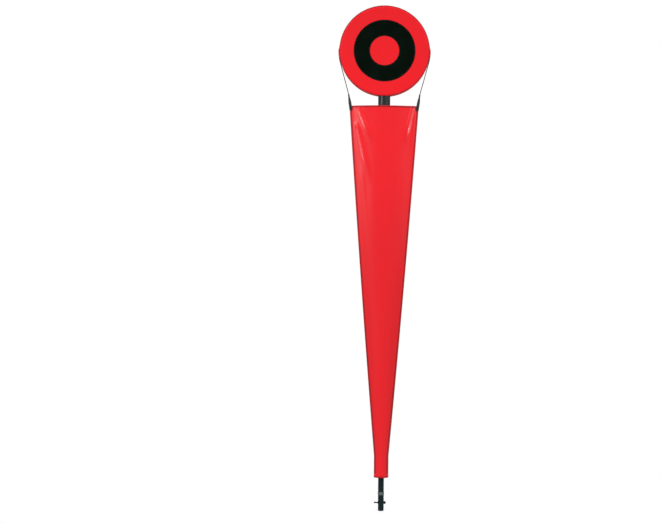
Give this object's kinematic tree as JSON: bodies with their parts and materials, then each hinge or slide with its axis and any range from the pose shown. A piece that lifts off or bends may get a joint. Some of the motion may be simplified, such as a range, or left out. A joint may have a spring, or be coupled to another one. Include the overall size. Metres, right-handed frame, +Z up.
{
  "type": "sideline marker pole",
  "caption": "Padded pole with a round bullseye target on top, a tapered drape hung round it on two elastic cords, and a sprung lower rod with a flat foot and a chain eye.",
  "frame": {"origin": "centre of the foot's flat end, on the pole's axis", "axes": "+Z up the pole to the target, -Y out of the target's front face, +X to the right seen from the front"},
  "size_m": [0.4086, 0.059, 2.2315],
  "materials": {
    "red_vinyl": "satin",
    "black_vinyl": "satin",
    "foam": "matte",
    "tube_aluminium": "satin",
    "black_steel": "satin",
    "bright_steel": "satin",
    "spring_steel": "satin",
    "black_nylon": "matte",
    "hardboard": "matte",
    "black_webbing": "matte",
    "shock_cord": "matte"
  },
  "bodies": {
    "pole": {"pole_tube": "tube_aluminium", "tube_cap": "black_nylon", "foam_sleeve_lower": "foam", "foam_sleeve_upper": "foam", "pole_cover": "black_vinyl", "guide_bush": "black_nylon", "bush_rivet_left": "bright_steel", "bush_rivet_right": "bright_steel", "spring_stop": "black_nylon", "stop_pin": "bright_steel", "plunger_spring": "spring_steel", "target_board": "hardboard", "clamp_strap_upper": "bright_steel", "clamp_strap_lower": "bright_steel", "clamp_bolt_upper_left": "bright_steel", "clamp_bolt_upper_right": "bright_steel", "clamp_bolt_lower_left": "bright_steel", "clamp_bolt_lower_right": "bright_steel", "clamp_nut_upper_left": "bright_steel", "clamp_nut_upper_right": "bright_steel", "clamp_nut_lower_left": "bright_steel", "clamp_nut_lower_right": "bright_steel", "target_foam_front": "foam", "target_foam_rear": "foam", "target_band": "red_vinyl", "target_face_front": "red_vinyl", "target_face_rear": "red_vinyl", "bullseye_ring_front": "black_vinyl", "bullseye_ring_rear": "black_vinyl", "rim_piping_front": "red_vinyl", "rim_piping_rear": "red_vinyl", "cord_pocket_left": "red_vinyl", "cord_pocket_right": "red_vinyl", "cord_left": "shock_cord", "cord_right": "shock_cord"},
    "lower_rod": {"lower_rod": "black_steel", "rod_head": "black_nylon", "head_pin": "bright_steel", "stop_collar": "bright_steel", "collar_screw": "black_steel", "foot_plug": "black_nylon", "eye_bolt": "black_steel", "eye_nut": "black_steel", "eye_washer_left": "black_steel", "eye_washer_right": "black_steel"},
    "drape": {"drape_front": "red_vinyl", "drape_rear": "red_vinyl", "corner_tab_left": "black_webbing", "corner_tab_right": "black_webbing", "tab_snap_left": "black_steel", "tab_snap_right": "black_steel"}
  },
  "joints": [
    {"name": "rod_plunge", "type": "slide", "parent": "pole", "child": "lower_rod", "axis": [0, 0, 1], "range_m": [0, 0.1], "stiffness_N_per_m": 500, "springref_m": -0.03, "deforming": ["plunger_spring"]},
    {"name": "drape_twist", "type": "hinge", "parent": "pole", "child": "drape", "pos_m": [0, 0, 1.79], "axis": [0, 0, 1], "range_deg": [-20, 20], "stiffness_Nm_per_rad": 1}
  ]
}
